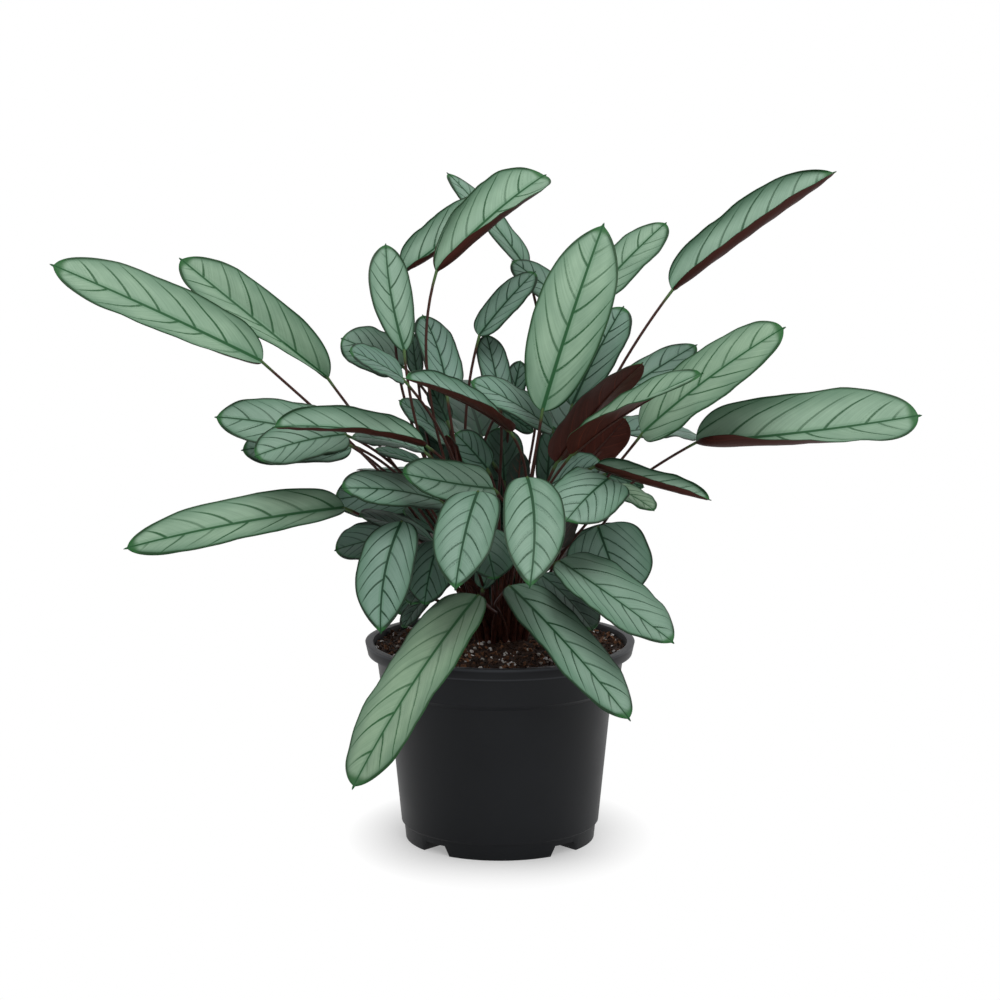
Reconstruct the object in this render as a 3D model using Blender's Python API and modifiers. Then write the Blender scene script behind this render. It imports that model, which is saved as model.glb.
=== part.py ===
"""Potted ctenanthe: a round nursery pot filled with potting soil, and the plant that grows in it.

Every leaf is one piece, grown as one: a sheath at the soil, a thin petiole and a blade.
Metres, +Z up. The pot's axis is the Z axis and the pot stands on z = 0. The front is -Y.
"""

from collections import namedtuple
from math import cos, radians, sin, tau

import bmesh
import bpy
import numpy as np

MM = 0.001

# Pot, in metres
POT_HEIGHT = 0.1564
RIM_RADIUS = 0.105
RIM_INNER_RADIUS = 0.099
SKIRT_RADIUS = 0.103  # outside of the skirt that hangs from the rim, at its lower edge
SKIRT_Z = 0.1474
BAND_TOP_RADIUS = 0.0965  # outside of the wall at the foot of the rim's skirt
BAND_BOTTOM_RADIUS = 0.0935
BAND_BOTTOM_Z = 0.125
WALL_TOP_RADIUS = 0.0878  # outside of the wall below the shoulder
WALL_TOP_Z = 0.121
WALL_BOTTOM_RADIUS = 0.0774
WALL_BOTTOM_Z = 0.014
FOOT_TOP_RADIUS = 0.0753
FOOT_TOP_Z = 0.012
FOOT_RADIUS = 0.074
EDGE = 0.001  # bevel of the pot's outer edges
WALL = 0.0018
POT_SEGMENTS = 60

# Notches in the foot, with a drain hole in the roof of each
NOTCH_BEARINGS = (48, 132, 228, 312)  # degrees
NOTCH_WIDTH = 0.0265  # at the floor
NOTCH_FLARE = 0.9  # width that a notch loses for its rise, both flanks together
NOTCH_HEIGHT = 0.008
NOTCH_INNER_RADIUS = 0.052
DRAIN_RADIUS = 0.0045
DRAIN_PLACE = 0.0615  # from the pot's axis

# Soil
SOIL_TOP = 0.15
GAP = 0.0003  # between touching pieces

# Leaves
BLADE_THICKNESS = 0.0008
BLADE_ROWS = 7  # faces along a blade
BLADE_COLUMNS = 4  # faces across it
BLADE_STUB = 0.12  # width of the blade's blunt base, as a share of its full width
TIP_STUB = 0.03  # width of the blade's very end
TIP_WIDTH = 0.10  # width of the pointed tip where it starts
WIDEST = 0.5  # place of the greatest width, from the base
ROUND_END = 0.982  # where the rounded outline ends and the pointed tip takes over
PETIOLE_POINTS = 6
PETIOLE_SIDES = 1  # bevel resolution, which gives six sides
PETIOLE_RADIUS = 0.0012
SHEATH_RADIUS = 0.002
SHEATH_END = 0.3  # share of the petiole that the sheath takes
STRAIGHT_FOOT = 0.004  # upright stretch at the soil
INTO_BLADE = 0.05  # share of the blade that the petiole's end runs into
CLUMP_RADIUS = 0.021
CLUMP_CENTRE = (0, 0.016)
FOOT_SPACING = 0.0051
SMALL = 0.001  # keeps a division from being by zero

Leaf = namedtuple(
    "Leaf",
    "base tip width roll fold arch bend twist relax cup narrow point",
    defaults=(0, 0, 0.85, 0, 0.2, 0.2),
)
# base, tip: ends of the blade in mm. width: mm. roll: degrees that the upper face turns about the
# blade's line from facing up, to the right as seen from the base. fold: degrees that each half
# rises at the base. arch, bend: bow of the midrib up and to the right, in percent of its length.
# twist: further roll from base to tip, in degrees. relax: share of the fold that is gone at the tip.
# cup: 0 for halves that meet in a crease and are flat, 1 for one even curve from edge to edge.
# narrow: 0 for a square base, 1 for one that narrows to the petiole.
# point: 0 for a round end, 1 for one that narrows to the tip.
LEAVES = (
    Leaf((-182, -10, 376), (-336, -50, 454), 58, -42, 38, 3, bend=-2, relax=0.9, cup=1, narrow=0.4),
    Leaf((-134, 30, 358), (-255, 90, 447), 52, -34, 58, 1, bend=-1, relax=0.8, narrow=0.5, point=0.3),
    Leaf((-48, -19, 446), (36, 50, 515), 58, 24, 68, 6, bend=1, relax=0.65, cup=1, narrow=0.6, point=0),
    Leaf((20, 92, 439), (-43, 135, 512), 30, -5, 12, 3),
    Leaf((-73, 20, 443), (-4, 60, 497), 46, 20, 50, 2, bend=5, relax=0.5, cup=1),
    Leaf((132, 0, 430), (260, 40, 518), 57, 18, 52, 2, twist=5, relax=0.1, cup=1, narrow=0.4, point=0.4),
    Leaf((69, 78, 411), (134, 120, 473), 37, 25, 12, 3),
    Leaf((-73, -16, 385), (-88, 20, 464), 34, 0, 12, 4, bend=-5, narrow=1.2, point=0.3),
    Leaf((-56, -74, 321), (-166, -120, 341), 41, -24, 46, 5, twist=-4, relax=0.2, cup=1, narrow=0, point=0),
    Leaf((7, -75, 332), (-69, -150, 381), 43, -24, 34, 5, bend=-7, twist=-4, relax=0, cup=1, narrow=1),
    Leaf((32, -45, 343), (79, -10, 482), 58, 40, 12, 4, narrow=1.1, point=0.7),
    Leaf((-72, -77, 371), (-111, -95, 394), 36, -30, 12, 4),
    Leaf((-76, 48, 365), (-125, 52, 387), 42, -45, 12, 3),
    Leaf((-41, -8, 352), (-60, 20, 409), 34, 0, 12, 3, bend=4),
    Leaf((-16, 25, 392), (28, 48, 440), 29, 25, 12, 3, narrow=0.5),
    Leaf((0, 23, 341), (-11, 48, 391), 26, 0, 12, 3),
    Leaf((57, 53, 408), (9, 75, 446), 30, -30, 12, 3),
    Leaf((56, 15, 339), (97, 48, 413), 40, 20, 12, 3, narrow=0.8, point=0),
    Leaf((43, -53, 305), (106, -80, 384), 44, -20, 15, 4),
    Leaf((53, -83, 315), (147, -130, 382), 38, 8, 60, 4, twist=25),
    Leaf((74, 40, 330), (157, 80, 379), 34, 28, 12, 2, narrow=1),
    Leaf((108, -30, 323), (213, -60, 408), 60, 40, 12, 4, bend=1, narrow=0, point=0),
    Leaf((95, 16, 317), (156, 50, 310), 46, 15, 12, 6),
    Leaf((150, -20, 315), (322, -20, 336), 73, 34, 62, 1, bend=3, relax=0.88, cup=1, narrow=0, point=0),
    Leaf((71, -74, 305), (155, -114, 286), 31, 10, 50, 0, bend=3, relax=0.1, cup=1),
    Leaf((85, -42, 284), (116, -67, 270), 27, 5, 12, 4),
    Leaf((81, -83, 297), (48, -125, 272), 52, -22, 10, 6, narrow=0.3),
    Leaf((38, -24, 282), (78, -28, 300), 44, 25, 10, 5),
    Leaf((20, -115, 303), (21, -195, 236), 45, 0, 10, 8, bend=-4, narrow=0.9, point=1),
    Leaf((-16, -118, 293), (-32, -187, 233), 46, 0, 10, 8, narrow=0.6, point=1),
    Leaf((-5, -62, 286), (-72, -120, 307), 40, -48, 12, 5, bend=-6),
    Leaf((-45, -60, 276), (-117, -110, 294), 42, -32, 12, 5),
    Leaf((-57, 45, 263), (-131, 35, 261), 48, -40, 12, 5),
    Leaf((-117, -60, 271), (-279, -100, 247), 44, -36, 30, 5, bend=-2, narrow=0),
    Leaf((-70, 15, 236), (-129, 6, 226), 42, -30, 12, 5),
    Leaf((-73, -90, 266), (-87, -140, 191), 44, 0, 10, 6, bend=4, narrow=0.7, point=1),
    Leaf((-45, -85, 251), (-56, -105, 205), 40, 0, 10, 6, narrow=0.8, point=0.8),
    Leaf((-16, -110, 214), (-107, -180, 85), 70, 0, 12, 7, bend=-5, narrow=0.1, point=0.1),
    Leaf((7, -100, 219), (95, -160, 131), 59, 4, 12, 5, bend=4, narrow=0.3, point=0.3),
    Leaf((44, -90, 236), (128, -130, 182), 68, 10, 12, 5, bend=6, narrow=0.5, point=0.5),
    Leaf((74, -60, 257), (94, -77, 203), 63, 55, 12, 6, narrow=0.6, point=0.6),
    Leaf((30, -37, 216), (70, -77, 180), 42, 0, 10, 5),
    Leaf((-15, -84, 259), (-4, -108, 225), 44, 0, 10, 5, narrow=0.8, point=0.8),
    Leaf((-41, 6, 311), (-78, 0, 345), 32, -30, 12, 4),
    Leaf((-10, 10, 290), (-35, 4, 319), 27, -70, 12, 4),
    Leaf((40, -6, 323), (-23, -20, 362), 42, -30, 12, 4),
    Leaf((-118, -20, 315), (-217, -30, 336), 48, -42, 12, 5, narrow=0.4, point=0.4),
    Leaf((-117, -41, 324), (-183, -80, 313), 42, -35, 12, 5),
    Leaf((-116, 26, 306), (-201, 12, 304), 40, -45, 12, 5),
    Leaf((-57, -54, 313), (-112, -60, 325), 40, -10, 12, 5),
    Leaf((14, -12, 269), (16, -18, 309), 19, 0, 12, 4, point=1),
    Leaf((-60, 75, 255), (-112, 175, 262), 44, 0, 12, 8),
    Leaf((-15, 80, 305), (-40, 200, 335), 46, 0, 12, 8),
    Leaf((48, 76, 300), (78, 185, 335), 46, 0, 12, 6),
    Leaf((50, 65, 260), (100, 170, 270), 44, 0, 12, 8),
    Leaf((-35, 95, 225), (-60, 190, 190), 44, 0, 12, 8),
    Leaf((30, 95, 220), (55, 195, 180), 44, 0, 12, 8),
    Leaf((0, 100, 265), (5, 215, 255), 46, 0, 12, 8),
)
UP = np.array((0.0, 0.0, 1.0))


def unit(vector):
    return vector / np.linalg.norm(vector)


def leaf_frame(leaf):
    """The blade's base, its line from base to tip, its side and the direction that its upper face has."""
    base = np.array(leaf.base) * MM
    chord = np.array(leaf.tip) * MM - base
    along = unit(chord)
    side = unit(np.cross(along, UP))
    face = np.cross(side, along)
    roll = radians(leaf.roll)
    face = face * cos(roll) + side * sin(roll)
    return base, chord, np.cross(along, face), face


def half_width(leaf, u):
    """Half width of a blade at u, from 0 at its base to 1 at its tip, as a share of the greatest."""
    to_base = max(0.0, (WIDEST - u) / WIDEST)
    to_tip = min(1.0, max(0.0, (u - WIDEST) / (ROUND_END - WIDEST)))
    base_end = (1 - to_base ** (6 - 3.5 * leaf.narrow)) ** 0.5
    tip_end = (1 - to_tip ** (3.2 - 1.1 * leaf.point)) ** (0.55 + 0.3 * leaf.point)
    pointed = TIP_WIDTH * min(1.0, (1 - u) / (2 * (1 - ROUND_END)))
    return max(base_end * tip_end, pointed, BLADE_STUB if u < WIDEST else TIP_STUB)


def blade_point(leaf, frame, u, v):
    """Point of the blade at u along it and v across it, from -1 to 1."""
    base, chord, side, face = frame
    length = np.linalg.norm(chord)
    bow = (face * leaf.arch + side * leaf.bend) / 100 * length * 4 * u * (1 - u)
    twist = radians(leaf.twist) * u
    out = side * cos(twist) - face * sin(twist)
    up = face * cos(twist) + side * sin(twist)
    fold = radians(leaf.fold) * (1 - leaf.relax * u)
    curve = max(2 * fold * leaf.cup, SMALL)
    start = fold * (1 - leaf.cup)
    end = start + curve * abs(v)
    level = (sin(end) - sin(start)) / curve * (1 if v > 0 else -1)
    rise = (cos(start) - cos(end)) / curve
    across = out * level + up * rise
    return base + chord * u + bow + across * leaf.width * MM / 2 * half_width(leaf, u)


def petiole_feet():
    """Where the petioles leave the soil: steep leaves in the middle, low ones outside, kept apart."""
    bases = np.array([leaf.base for leaf in LEAVES]) * MM
    reach = np.linalg.norm(bases[:, :2], axis=1)
    steep = np.arctan2(bases[:, 2] - SOIL_TOP, reach) / (tau / 4)
    feet = bases[:, :2] / reach[:, None] * (CLUMP_RADIUS * (1 - 0.85 * steep))[:, None]
    for _ in range(300):
        apart = feet[:, None] - feet[None]
        distance = np.linalg.norm(apart, axis=2) + np.eye(len(feet))
        push = np.clip(FOOT_SPACING - distance, 0, None) * 0.35 / distance
        feet = feet + (apart * push[..., None]).sum(axis=1)
        radius = np.linalg.norm(feet, axis=1)
        feet = feet * np.minimum(1, (CLUMP_RADIUS + 0.002) / radius)[:, None]
    return feet + CLUMP_CENTRE


def petiole_path(leaf, frame, foot):
    """Points from the soil to just inside the blade, upright at the soil and in line with the blade."""
    base, chord, _, _ = frame
    along = unit(chord)
    start = np.array((foot[0], foot[1], SOIL_TOP + GAP))
    rise = start + UP * STRAIGHT_FOOT
    out = unit((base - start) * (1, 1, 0) + 1e-9)
    inward = 1 - float(unit(along * (1, 1, 0) + 1e-9) @ out)
    arrive = unit(along + UP * (0.4 + 0.6 * inward + 1.2 * max(0.0, -along[2])))
    span = np.linalg.norm(base - rise)
    second = rise + unit(UP + 0.25 * out) * span * 0.38
    third = base - arrive * span * 0.33
    points = [start]
    for t in np.linspace(0, 1, PETIOLE_POINTS):
        ends = rise * (1 - t) ** 3 + base * t**3
        points.append(ends + 3 * t * (1 - t) * (second * (1 - t) + third * t))
    points.append(blade_point(leaf, frame, INTO_BLADE, 0))
    return points


def petiole_radius(place):
    """Radius at a place from 0 at the soil to 1 at the blade: a sheath that narrows to the petiole."""
    sheath = max(0.0, 1 - place / SHEATH_END)
    return PETIOLE_RADIUS + (SHEATH_RADIUS - PETIOLE_RADIUS) * sheath


def new_collection(name):
    collection = bpy.data.collections.new(name)
    bpy.context.scene.collection.children.link(collection)
    return collection


def new_object(name, data, collection):
    obj = bpy.data.objects.new(name, data)
    collection.objects.link(obj)
    return obj


def smooth(obj, edge_angle):
    """Smooth shading, with sharp edges where faces meet at more than edge_angle degrees."""
    obj.data.shade_smooth()
    obj.data.set_sharp_from_angle(angle=radians(edge_angle))


def paint(obj, name, colour, roughness):
    material = bpy.data.materials.new(name)
    material.use_nodes = True
    shader = material.node_tree.nodes["Principled BSDF"]
    shader.inputs["Base Color"].default_value = (*colour, 1)
    shader.inputs["Roughness"].default_value = roughness
    obj.data.materials.clear()
    obj.data.materials.append(material)


def applied(obj):
    """The object's mesh with its modifiers carried out."""
    bpy.context.view_layer.update()
    graph = bpy.context.evaluated_depsgraph_get()
    mesh = bpy.data.meshes.new_from_object(obj.evaluated_get(graph))
    obj.modifiers.clear()
    obj.data = mesh


def turned(name, profile, collection):
    """A closed solid turned about Z from a profile of (radius, z) points that ends on the axis."""
    mesh = bpy.data.meshes.new(name)
    edges = [(i, i + 1) for i in range(len(profile) - 1)]
    mesh.from_pydata([(r, 0, z) for r, z in profile], edges, [])
    obj = new_object(name, mesh, collection)
    screw = obj.modifiers.new("turn", "SCREW")
    screw.steps = POT_SEGMENTS
    screw.render_steps = POT_SEGMENTS
    screw.use_merge_vertices = True
    screw.merge_threshold = 0.00001
    screw.use_normal_calculate = True
    applied(obj)
    return obj


def outward(obj):
    """Turns all faces outward."""
    shape = bmesh.new()
    shape.from_mesh(obj.data)
    bmesh.ops.recalc_face_normals(shape, faces=shape.faces)
    if shape.calc_volume(signed=True) < 0:
        bmesh.ops.reverse_faces(shape, faces=shape.faces)
    shape.to_mesh(obj.data)
    shape.free()


def combine(obj, other, operation):
    """Joins or cuts obj with other by an exact Boolean."""
    outward(obj)
    outward(other)
    boolean = obj.modifiers.new(other.name, "BOOLEAN")
    boolean.operation = operation
    boolean.solver = "EXACT"
    boolean.object = other
    applied(obj)


def cavity_profile(gap):
    """The inside of the pot, drawn in by gap, from the floor up to the rim."""
    inset = WALL + gap
    return [
        (0, WALL + gap),
        (FOOT_RADIUS - inset, WALL + gap),
        (WALL_BOTTOM_RADIUS - inset, WALL_BOTTOM_Z),
        (WALL_TOP_RADIUS - inset, WALL_TOP_Z),
        (BAND_BOTTOM_RADIUS - inset, BAND_BOTTOM_Z),
        (BAND_TOP_RADIUS - inset, SKIRT_Z),
    ]


def foot_block(name, bearing, size, collection):
    """A block that reaches out through the foot at a bearing and is wider at the floor than on top.

    size: the radius it starts from, its width at the floor, its height.
    """
    inner, width, height = size
    mesh = bpy.data.meshes.new(name)
    shape = bmesh.new()
    bmesh.ops.create_cube(shape, size=1)
    length = 2 * FOOT_TOP_RADIUS - inner
    bmesh.ops.scale(shape, vec=(length, 1, 2 * height), verts=shape.verts)
    bmesh.ops.translate(shape, vec=(inner + length / 2, 0, 0), verts=shape.verts)
    for vertex in shape.verts:
        vertex.co.y *= width - NOTCH_FLARE * vertex.co.z
    shape.to_mesh(mesh)
    shape.free()
    obj = new_object(name, mesh, collection)
    obj.rotation_euler.z = radians(bearing)
    return obj


def drain(name, bearing, collection):
    """An upright round cutter for the drain hole in a notch's roof."""
    mesh = bpy.data.meshes.new(name)
    shape = bmesh.new()
    bmesh.ops.create_cone(
        shape, cap_ends=True, segments=16, radius1=DRAIN_RADIUS, radius2=DRAIN_RADIUS, depth=0.02
    )
    shape.to_mesh(mesh)
    shape.free()
    obj = new_object(name, mesh, collection)
    angle = radians(bearing)
    obj.location = (DRAIN_PLACE * cos(angle), DRAIN_PLACE * sin(angle), NOTCH_HEIGHT)
    return obj


def fill_over_notches(solid, gap, cutters):
    """Cuts the notches' roofs and sides, WALL thick, out of a solid that fills the pot's inside."""
    for bearing in NOTCH_BEARINGS:
        size = (
            NOTCH_INNER_RADIUS - WALL - gap,
            NOTCH_WIDTH + 2 * (WALL + gap),
            NOTCH_HEIGHT + WALL + gap,
        )
        combine(solid, foot_block(f"{solid.name}_over_{bearing}", bearing, size, cutters), "DIFFERENCE")


def build_pot(parts, cutters):
    """The pot: a thin tapered wall with a shoulder, a hanging rim, and a notched foot with drain holes."""
    outside = [
        (0, 0),
        (FOOT_RADIUS - EDGE, 0),
        (FOOT_RADIUS, EDGE),
        (FOOT_TOP_RADIUS, FOOT_TOP_Z),
        (WALL_BOTTOM_RADIUS, WALL_BOTTOM_Z),
        (WALL_TOP_RADIUS, WALL_TOP_Z),
        (BAND_BOTTOM_RADIUS, BAND_BOTTOM_Z),
        (BAND_TOP_RADIUS, SKIRT_Z),
        (RIM_INNER_RADIUS + WALL, POT_HEIGHT - WALL),
        (RIM_RADIUS - WALL, POT_HEIGHT - WALL),
        (SKIRT_RADIUS - WALL, SKIRT_Z),
        (SKIRT_RADIUS, SKIRT_Z),
        (RIM_RADIUS, POT_HEIGHT - EDGE),
        (RIM_RADIUS - EDGE, POT_HEIGHT),
        (0, POT_HEIGHT),
    ]
    pot = turned("pot", outside, parts)
    inside = cavity_profile(0) + [
        (RIM_INNER_RADIUS, POT_HEIGHT - EDGE),
        (RIM_INNER_RADIUS, POT_HEIGHT + WALL),
        (0, POT_HEIGHT + WALL),
    ]
    cavity = turned("pot_cavity", inside, cutters)
    fill_over_notches(cavity, 0, cutters)
    combine(pot, cavity, "DIFFERENCE")
    for bearing in NOTCH_BEARINGS:
        size = (NOTCH_INNER_RADIUS, NOTCH_WIDTH, NOTCH_HEIGHT)
        combine(pot, foot_block(f"notch_{bearing}", bearing, size, cutters), "DIFFERENCE")
        combine(pot, drain(f"drain_{bearing}", bearing, cutters), "DIFFERENCE")
    smooth(pot, 30)
    paint(pot, "charcoal plastic", (0.022, 0.023, 0.025), 0.5)


def build_soil(parts, cutters):
    """The soil fills the pot to a flat surface a little below the rim."""
    under_rim = BAND_TOP_RADIUS - WALL
    up_the_rim = (SOIL_TOP - SKIRT_Z) / (POT_HEIGHT - EDGE - SKIRT_Z)
    edge = under_rim + (RIM_INNER_RADIUS - under_rim) * up_the_rim - GAP
    soil = turned("soil", cavity_profile(GAP) + [(edge, SOIL_TOP), (0, SOIL_TOP)], parts)
    fill_over_notches(soil, GAP, cutters)
    smooth(soil, 30)
    paint(soil, "potting soil", (0.035, 0.022, 0.015), 0.95)


def build_blade(name, leaf, frame, parts):
    """The blade: a grid bent to the leaf's shape and given its thickness."""
    mesh = bpy.data.meshes.new(name)
    shape = bmesh.new()
    bmesh.ops.create_grid(shape, x_segments=BLADE_ROWS, y_segments=BLADE_COLUMNS, size=0.5)
    for vertex in shape.verts:
        vertex.co = blade_point(leaf, frame, vertex.co.x + 0.5, vertex.co.y * 2)
    shape.to_mesh(mesh)
    shape.free()
    blade = new_object(name, mesh, parts)
    solidify = blade.modifiers.new("thickness", "SOLIDIFY")
    solidify.thickness = BLADE_THICKNESS
    solidify.offset = 0
    applied(blade)
    return blade


def build_petiole(name, path, cutters):
    """The petiole and its sheath: a round tube with closed ends, as a mesh."""
    curve = bpy.data.curves.new(name, "CURVE")
    curve.dimensions = "3D"
    curve.bevel_depth = 1
    curve.bevel_resolution = PETIOLE_SIDES
    curve.use_fill_caps = True
    spline = curve.splines.new("POLY")
    spline.points.add(len(path) - 1)
    for i, (point, place) in enumerate(zip(spline.points, path)):
        point.co = (*place, 1)
        point.radius = petiole_radius(i / (len(path) - 1))
    tube = new_object(name, curve, cutters)
    bpy.context.view_layer.update()
    graph = bpy.context.evaluated_depsgraph_get()
    mesh = bpy.data.meshes.new_from_object(tube.evaluated_get(graph))
    bpy.data.objects.remove(tube)
    shape = bmesh.new()
    shape.from_mesh(mesh)
    bmesh.ops.remove_doubles(shape, verts=shape.verts, dist=0.00001)
    shape.to_mesh(mesh)
    shape.free()
    return new_object(name, mesh, cutters)


def build_leaf(name, leaf, foot, parts, cutters):
    """One leaf: its blade joined with its petiole."""
    frame = leaf_frame(leaf)
    blade = build_blade(name, leaf, frame, parts)
    petiole = build_petiole(f"{name}_petiole", petiole_path(leaf, frame, foot), cutters)
    combine(blade, petiole, "UNION")
    outward(blade)
    smooth(blade, 60)
    paint(blade, f"{name} green", (0.24, 0.38, 0.28), 0.5)


def main():
    for obj in list(bpy.data.objects):
        bpy.data.objects.remove(obj, do_unlink=True)
    parts = new_collection("potted_ctenanthe")
    cutters = new_collection("cutters")
    cutters.hide_render = True
    build_pot(parts, cutters)
    build_soil(parts, cutters)
    for number, (leaf, foot) in enumerate(zip(LEAVES, petiole_feet()), start=1):
        build_leaf(f"leaf_{number:02d}", leaf, foot, parts, cutters)
    for cutter in cutters.objects:
        cutter.hide_render = True
        cutter.display_type = "WIRE"


if __name__ == "__main__":
    main()
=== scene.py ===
"""Looks of the potted ctenanthe: silver-green leaves on maroon stalks, in a charcoal nursery pot."""

import random
from collections import namedtuple
from math import cos, radians, sin, sqrt, tau

import bmesh
import bpy
import numpy as np
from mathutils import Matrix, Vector


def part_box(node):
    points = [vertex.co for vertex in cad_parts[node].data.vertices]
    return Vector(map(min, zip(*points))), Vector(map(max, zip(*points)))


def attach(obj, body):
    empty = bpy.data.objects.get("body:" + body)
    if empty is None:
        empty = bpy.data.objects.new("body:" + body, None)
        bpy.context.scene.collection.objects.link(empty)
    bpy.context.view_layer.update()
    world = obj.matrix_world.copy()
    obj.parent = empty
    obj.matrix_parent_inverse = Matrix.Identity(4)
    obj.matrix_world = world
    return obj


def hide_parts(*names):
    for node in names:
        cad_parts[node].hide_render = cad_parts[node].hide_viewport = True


MM = 0.001
UP = np.array((0.0, 0.0, 1.0))

# Kinds of node. A word after a colon is the node's operation.
PLUS, MINUS, TIMES, OVER, TIMES_PLUS, SMALLER, LARGER = (
    "ShaderNodeMath:" + name
    for name in ("ADD", "SUBTRACT", "MULTIPLY", "DIVIDE", "MULTIPLY_ADD", "MINIMUM", "MAXIMUM")
)
ABOVE, POWER, ROOT, SIGN, ABSOLUTE, FLOOR, SINE, COSINE = (
    "ShaderNodeMath:" + name
    for name in ("GREATER_THAN", "POWER", "SQRT", "SIGN", "ABSOLUTE", "FLOOR", "SINE", "COSINE")
)
MOVED, SCALED, STRETCHED, APART, LONG = (
    "ShaderNodeVectorMath:" + name for name in ("ADD", "SCALE", "MULTIPLY", "DISTANCE", "LENGTH")
)
MIX = "ShaderNodeMixRGB"
RANGE = "ShaderNodeMapRange"
PLACE = "ShaderNodeTexCoord"
NOISE = "ShaderNodeTexNoise"
BUMP = "ShaderNodeBump"
COMBINE = "ShaderNodeCombineXYZ"
ATTRIBUTE = "ShaderNodeAttribute"
STORE = "GeometryNodeStoreNamedAttribute"
SET_MATERIAL = "GeometryNodeSetMaterial"
RANDOM = "FunctionNodeRandomValue"
SMOOTH = {"interpolation_type": "SMOOTHSTEP"}

# Pot, in metres
RIM_INNER_RADIUS = 0.099
SKIRT_RADIUS = 0.103  # outside of the skirt that hangs from the rim, at its lower edge
SKIRT_Z = 0.1474
BAND_TOP_RADIUS = 0.0965
BAND_BOTTOM_RADIUS = 0.0935
BAND_BOTTOM_Z = 0.125
WALL_TOP_RADIUS = 0.0878
WALL_TOP_Z = 0.121
WALL_BOTTOM_RADIUS = 0.0774
WALL_BOTTOM_Z = 0.014
FOOT_TOP_RADIUS = 0.0753
FOOT_TOP_Z = 0.012
FOOT_RADIUS = 0.074
WALL = 0.0018
EDGE = 0.001  # height of the rim's inner edge
ROUNDING = 0.0006  # of the pot's edges
POT_STEPS = 160
NOTCH_BEARINGS = (48, 132, 228, 312)  # degrees
NOTCH_WIDTH = 0.0265  # at the floor
NOTCH_FLARE = 0.9  # width that a notch loses for its rise, both flanks together
NOTCH_HEIGHT = 0.008
NOTCH_INNER_RADIUS = 0.052
DRAIN_RADIUS = 0.0045
DRAIN_PLACE = 0.0615  # from the pot's axis

# Soil
SOIL_RINGS = 30
SOIL_STEPS = 96
SOIL_BUMPS = 0.003  # height of the surface's unevenness
SOIL_RISE = 0.002  # of the loose surface over the flat top
MOUND = 0.006  # further rise around the stalks
MOUND_RADIUS = 0.05
UNDER_TOP = 0.0005  # depth within which a point still counts as the surface

# Leaves
GAP = 0.0003
BLADE_ROWS = 48
BLADE_COLUMNS = 15
BLADE_THICKNESS = 0.0006
BLADE_STUB = 0.12  # width of the blade's blunt base, as a share of its full width
TIP_STUB = 0.03  # width of the blade's very end
TIP_WIDTH = 0.10  # width of the pointed tip where it starts
WIDEST = 0.5  # place of the greatest width, from the base
BASE_POWER = (6, -3.5)  # how square the base is, and what a narrow one takes from that
TIP_POWER = (3.2, -1.1)  # how blunt the tip is, and what a pointed one takes from that
TIP_TAPER = (0.55, 0.3)  # how the tip closes, and what a pointed one adds to that
ROW_SHIFT = 0.12  # how far the blade's rows move towards its ends
ROUND_END = 0.982  # where the rounded outline ends and the pointed tip takes over
CREASE = 0.12  # how softly the two halves meet at the midrib
LEAST_CURVE = 0.001  # least curve of a half, which keeps a division from being by zero
SWELL = 0.05  # height of the bulge along each half, as a share of its width
RIPPLE = 0.07  # height of the edge's wave, as a share of a half's width
QUILT = 0.00022  # height of the quilting between the side veins
SHEATH_RADIUS = 0.0024
SHEATH_END = 0.3
PETIOLE_RADIUS = 0.0011
PULVINUS_RADIUS = 0.0017
PULVINUS_LENGTH = 0.007
RIB_RADIUS = 0.0011
STRAIGHT_FOOT = 0.004
STALK_DEPTH = 0.004  # of a stalk's lower end, under the surface
CLUMP_RADIUS = 0.021
CLUMP_CENTRE = (0, 0.016)
FOOT_SPACING = 0.0051
STALK_POINTS = 28
RIB_POINTS = 22
STALK_SIDES = 8
VEIN_GAP = (0.004, 0.13)  # between side veins: a fixed part, and a share of the blade's length
VEIN_LEAN = (0.75, 1.0)  # how far a side vein runs on towards the tip, to the first and second power
VEIN_STAGGER = 0.27  # shift of one side's veins against the other's, in gaps
VEIN_GAPS_MM = (10, 26)  # between the side veins of a small and a large leaf
VEIN_SIZES = (0.6, 1.15)  # how wide the veins of such leaves are, against the usual
# What a leaf's mesh carries at each point, for its materials
CARRIED = ("along", "across", "half_mm", "vein_row", "vein_out", "vein_gap_mm", "leaf_seed", "fresh")
STUBS = 34
STUB_STEPS = 6
FEET_ROUNDS = 300  # of pushing the stalks' feet apart
FEET_PUSH = 0.35  # share of a missing distance that one round makes up
SMALL = 1e-9  # keeps a division from being by zero

# Camera, lamps and floor, in metres
CAMERA_PLACE = (0, -2.2, 0.638)
CAMERA_DIP = 9.57  # degrees below level
LENS = 103.8  # mm
SENSOR = 36  # mm
LAMP_AIM = (0, 0, 0.25)
SOFT_LIGHT = 0.3  # strength of the light from all round
SHADOW_STRETCH = (1.25, 1, 1)
SHADOW_FADE = (0.075, 0.15)  # from the pot's axis, where the shadow starts to fade and where it is gone
WHITE_NEAR_POT = 0.34  # share of plain white in the floor where the fade starts

Leaf = namedtuple("Leaf", "base tip width roll fold arch bend twist relax cup narrow point fresh",
                  defaults=(0, 12, 4, 0, 0, 0.85, 0, 0.2, 0.2, 0.1))
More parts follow.
